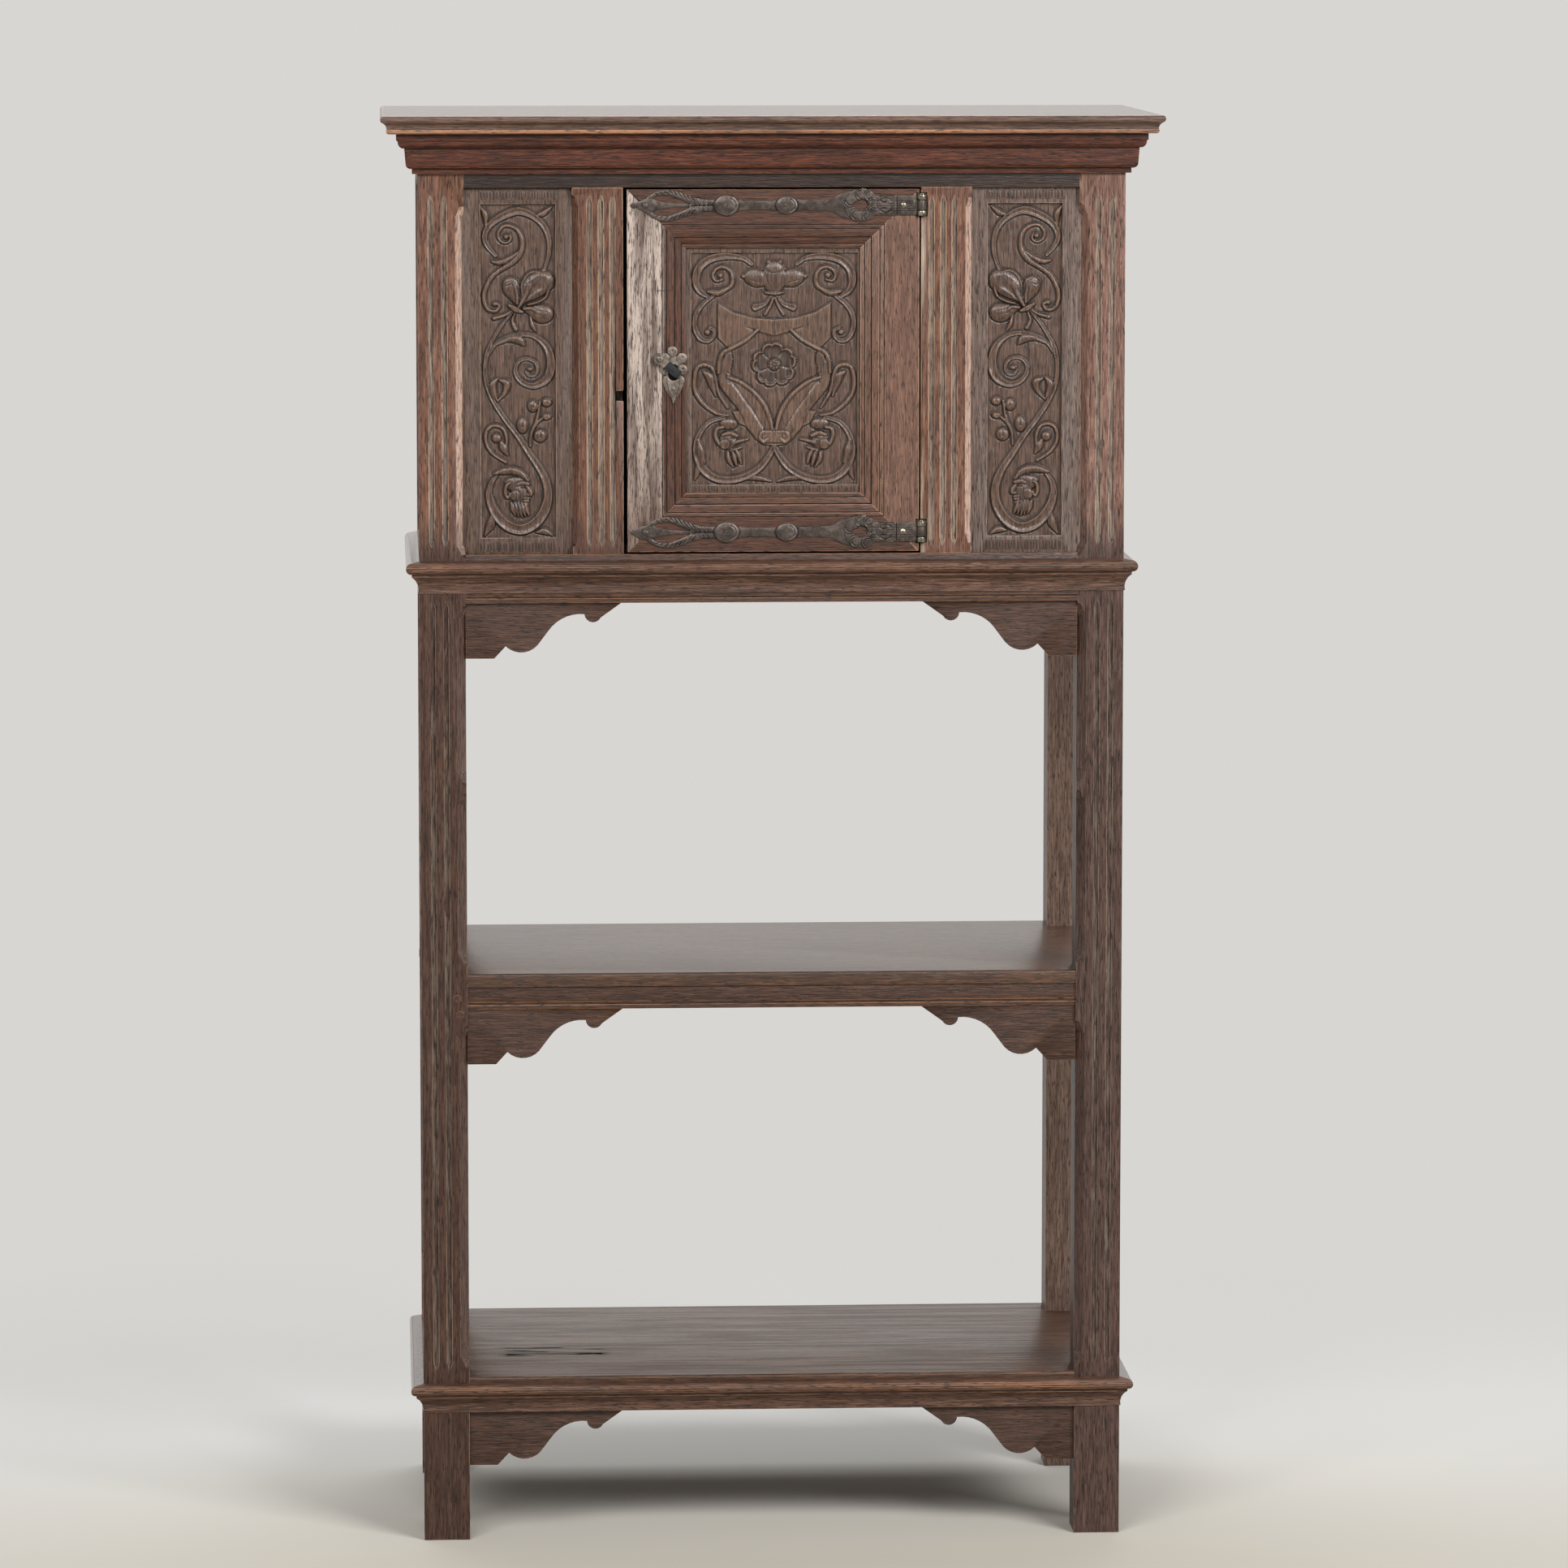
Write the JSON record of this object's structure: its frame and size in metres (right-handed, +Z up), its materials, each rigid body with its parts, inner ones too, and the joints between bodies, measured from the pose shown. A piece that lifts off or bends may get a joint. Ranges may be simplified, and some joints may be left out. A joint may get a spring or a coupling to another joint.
{
  "type": "court cupboard",
  "caption": "Joined oak cupboard on posts: moulded top, carved panels, a hinged door with strap hinges and lock, open shelf stages below, and scroll-cut brackets.",
  "frame": {"origin": "on the floor, in the middle of the box that holds the whole cupboard", "axes": "+Z up, +X to the right of someone facing the door, front of the cupboard towards -Y"},
  "size_m": [0.8118, 0.4299, 1.5],
  "materials": {
    "oak_frame": "waxed, dark stained oak",
    "oak_panel": "waxed, dark stained oak",
    "oak_door": "waxed, dark stained oak",
    "oak_board": "waxed, dark stained oak",
    "oak_moulding": "waxed, dark stained oak",
    "oak_rough": "waxed, dark stained oak",
    "forged_iron": "hand-forged iron, dark and waxed",
    "polished_steel": "filed and polished by wear"
  },
  "bodies": {
    "carcase": {"post_front_left": "oak_frame", "post_front_right": "oak_frame", "post_rear_left": "oak_frame", "post_rear_right": "oak_frame", "frieze_rail_front": "oak_frame", "frieze_rail_rear": "oak_frame", "frieze_rails_side": "oak_frame", "waist_rail_front": "oak_frame", "waist_rail_rear": "oak_frame", "waist_rails_side": "oak_frame", "muntin_left": "oak_frame", "muntin_right": "oak_frame", "shelf_rail_front": "oak_frame", "shelf_rail_rear": "oak_frame", "shelf_rail_left": "oak_frame", "shelf_rail_right": "oak_frame", "base_rail_front": "oak_frame", "base_rail_rear": "oak_frame", "base_rail_left": "oak_frame", "base_rail_right": "oak_frame", "bracket_waist_left": "oak_frame", "bracket_waist_right": "oak_frame", "bracket_shelf_left": "oak_frame", "bracket_shelf_right": "oak_frame", "bracket_base_left": "oak_frame", "bracket_base_right": "oak_frame", "frame_pegs": "oak_frame", "carved_panel_left": "oak_panel", "carved_panel_right": "oak_panel", "side_panel_left": "oak_panel", "side_panel_right": "oak_panel", "shelf_board": "oak_board", "base_board": "oak_board", "top_board": "oak_board", "cornice_front": "oak_moulding", "cornice_left": "oak_moulding", "cornice_right": "oak_moulding", "waist_moulding_front": "oak_moulding", "waist_moulding_left": "oak_moulding", "waist_moulding_right": "oak_moulding", "base_moulding_front": "oak_moulding", "base_moulding_left": "oak_moulding", "base_moulding_right": "oak_moulding", "back_boards": "oak_rough", "cupboard_floor": "oak_rough", "hinge_leaves": "forged_iron", "hinge_pins": "forged_iron"},
    "door": {"door_stile_lock": "oak_door", "door_stile_hinge": "oak_door", "door_rail_top": "oak_door", "door_rail_bottom": "oak_door", "door_panel": "oak_panel", "strap_hinge_top": "forged_iron", "strap_hinge_bottom": "forged_iron", "door_nails": "forged_iron", "escutcheon": "forged_iron", "lock_case": "forged_iron"},
    "keyhole_cover": {"keyhole_cover": "polished_steel"},
    "lock_bolt": {"lock_bolt": "forged_iron"}
  },
  "joints": [
    {"name": "door_hinge", "type": "hinge", "parent": "carcase", "child": "door", "pos_m": [0.1555, -0.179, 1.235], "axis": [0, 0, 1], "range_deg": [0, 165]},
    {"name": "cover_swing", "type": "hinge", "parent": "door", "child": "keyhole_cover", "pos_m": [-0.117, -0.1804, 1.2475], "axis": [0, 1, 0], "range_deg": [-35, 75]},
    {"name": "bolt_throw", "type": "slide", "parent": "door", "child": "lock_bolt", "axis": [-1, 0, 0], "range_m": [0, 0.012]}
  ]
}
